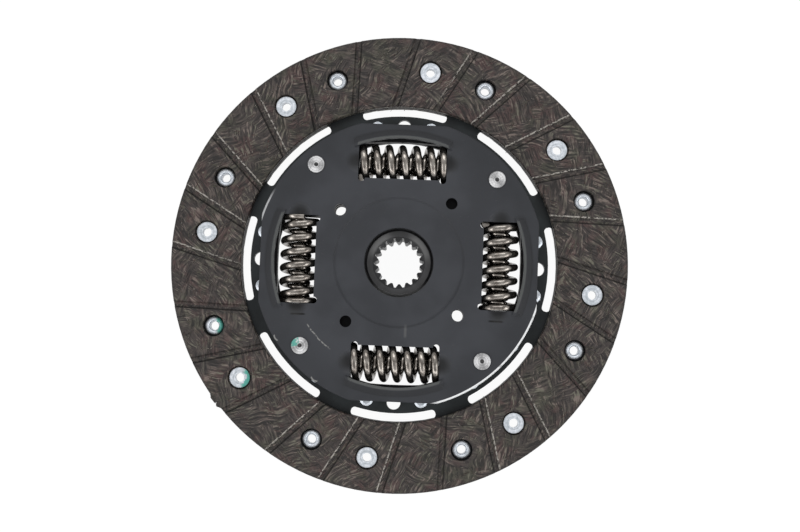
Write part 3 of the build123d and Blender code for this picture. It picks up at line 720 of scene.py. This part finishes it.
def turned_rivets(name, section, first, material, node):
    """Ring of eight rivets turned from a closed section of radii and heights."""
    shape = bmesh.new()
    count, steps = 8, 56
    for number in range(count):
        middle = at_clock(first + 360.0 / count * number, rivet_circle)
        rings = []
        for step in range(steps):
            arm = at_clock(360.0 * step / steps, 1.0)
            rings.append([shape.verts.new((middle + arm * r + Vector((0, 0, z))) * MM) for r, z in section])
        for step in range(steps):
            here, after = rings[step], rings[(step + 1) % steps]
            for place in range(len(section)):
                beyond = (place + 1) % len(section)
                shape.faces.new((here[place], here[beyond], after[beyond], after[place])).smooth = True
    bmesh.ops.recalc_face_normals(shape, faces=shape.faces)
    mesh = bpy.data.meshes.new(name)
    shape.to_mesh(mesh)
    shape.free()
    mesh.materials.append(material)
    piece = bpy.data.objects.new(name, mesh)
    bpy.context.scene.collection.objects.link(piece)
    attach(piece, driven_side)
    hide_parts(node)
    return piece


def rim_burr(name, material, clock, size, seed):
    """Ragged lump of pressed yarn that was left on the facing's rim."""
    shape = bmesh.new()
    bmesh.ops.create_icosphere(shape, subdivisions=3, radius=1.0)
    middle = at_clock(clock, facing_outer - 0.1, facing_front - 1.5)
    outward, sideways = at_clock(clock, 1.0), at_clock(clock + 90.0, 1.0)
    for vertex in shape.verts:
        point = vertex.co.copy()
        swell = 1.0 + 0.45 * noise.noise(point * 1.9 + Vector((seed, 0.0, 0.0)))
        point = point * swell
        local = sideways * point.x * size[0] + outward * point.y * size[1] + Vector((0, 0, point.z * size[2]))
        vertex.co = (middle + local) * MM
    mesh = bpy.data.meshes.new(name)
    shape.to_mesh(mesh)
    shape.free()
    mesh.materials.append(material)
    piece = bpy.data.objects.new(name, mesh)
    bpy.context.scene.collection.objects.link(piece)
    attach(piece, driven_side)
    return piece


# Finishes
lining_front = lining_finish("lining_front", facing_front, False)
lining_back = lining_finish("lining_back", facing_rear, True)
cover_black = cover_finish()
rear_black = rear_plate_finish()
cushion_black = sheet_finish("cushion_black", colour(0.022, 0.026, 0.028))
# Near-black flange, far darker than the other black sheets: painted shade, for it lies deep under the cover
flange_black = sheet_finish("flange_black", colour(0.009, 0.009, 0.010), 0.08)
hub_steel = hub_finish()
ring_black = sheet_finish("ring_black", colour(0.015, 0.015, 0.015), 0.1)
spring_bronze = spring_finish()
front_zinc = rivet_finish("front_zinc", front_head_angle, -3.0, 228.0, 2.6)
rear_zinc = rivet_finish("rear_zinc", rear_head_angle, -3.0, 195.0, 2.0)
zinc = rivet_finish("zinc", front_head_angle, None, 0.0, 0.0)
pin_steel = pin_finish()

set_finish(lining_front, "front_facing")
set_finish(lining_back, "rear_facing")
set_finish(cover_black, "front_cover_plate")
set_finish(rear_black, "rear_drive_plate")
set_finish(cushion_black, "cushion_disc")
set_finish(flange_black, "hub_flange")
set_finish(hub_steel, "hub")
set_finish(ring_black, "support_ring", "belleville_washer", "hub_bush")
set_finish(ring_black, "front_friction_washer", "rear_friction_washer")
set_finish(front_zinc, "front_facing_rivets")
set_finish(zinc, "cushion_disc_rivets")
set_finish(pin_steel, "stop_pin_1", "stop_pin_2", "stop_pin_3", "stop_pin_4")

# Springs, whose phase is where a strand crosses the front, in turns from the middle
outer_winding = dict(wire=3.3, coil=16.9, circle=43.65, pitch=5.95, even_turns=2.6, hand=1.0, steps=320)
inner_winding = dict(wire=2.4, coil=10.2, circle=43.45, pitch=2.98, even_turns=5.4, hand=-1.0, steps=480)
outer_phases = (0.168, 0.204, 0.025, 0.561)
inner_phases = (0.125, 0.25, 0.875, 0.875)
for number in range(4):
    clock = 90.0 * number
    outer = coil_spring(f"outer_coil_{number + 1}", clock, outer_phases[number], **outer_winding)
    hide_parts(f"damper_spring_{number + 1}")
    inner = coil_spring(f"inner_coil_{number + 1}", clock, inner_phases[number], **inner_winding)
    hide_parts(f"inner_spring_{number + 1}")

# Rear rivets, whose rolled tails are fuller than the frame's; heights run down from the tail, then radii
tail_top, tail_seat, head_seat, head_face = 16.1, 13.95, 11.75, 10.85
bore, shank, tail, head = 1.95, 2.55, 4.1, 4.4
head_bevel = 0.15
roll_middle, roll = (bore + tail) / 2, (tail - bore) / 2
roll_height = tail_top - roll
section = [(bore, head_face), (bore, roll_height)]
for turn in range(165, -91, -15):
    bend = math.radians(turn)
    section.append((roll_middle + roll * math.cos(bend), roll_height + roll * math.sin(bend)))
section += [(shank, tail_seat), (shank, head_seat), (head, head_seat)]
section += [(head, head_face + head_bevel), (head - head_bevel, head_face)]
turned_rivets("rolled_rivets", section, rear_head_angle, rear_zinc, "rear_facing_rivets")

# Loose yarn and the burr on the facings
yarn = yarn_finish()
yarn_ends("yarn_ends_front", "front_facing", facing_front, 1.0, yarn, 90000.0, 5)
yarn_ends("yarn_ends_rear", "rear_facing", facing_rear, -1.0, yarn, 60000.0, 9)
rim_burr("rim_burr_1", lining_front, 231.6, (2.4, 1.05, 1.3), 3.0)
rim_burr("rim_burr_2", lining_front, 229.7, (1.5, 1.0, 1.0), 8.0)

# Studio
white_room()
pale_floor()
across, upright = (1.0, 0.0, 0.0), (0.0, 1.0, 0.0)
light_strip("lamp_left", (-690.0, -340.0, 520.0), upright, 900.0, 220.0, 3.0)
light_strip("lamp_right", (690.0, -340.0, 520.0), upright, 900.0, 220.0, 3.0)
light_strip("lamp_below", (0.0, -640.0, 600.0), across, 1000.0, 160.0, 1.5)
light_strip("lamp_above", (0.0, 760.0, 760.0), across, 1000.0, 400.0, 4.6)
photo_camera()
bpy.context.scene.view_settings.view_transform = "Standard"
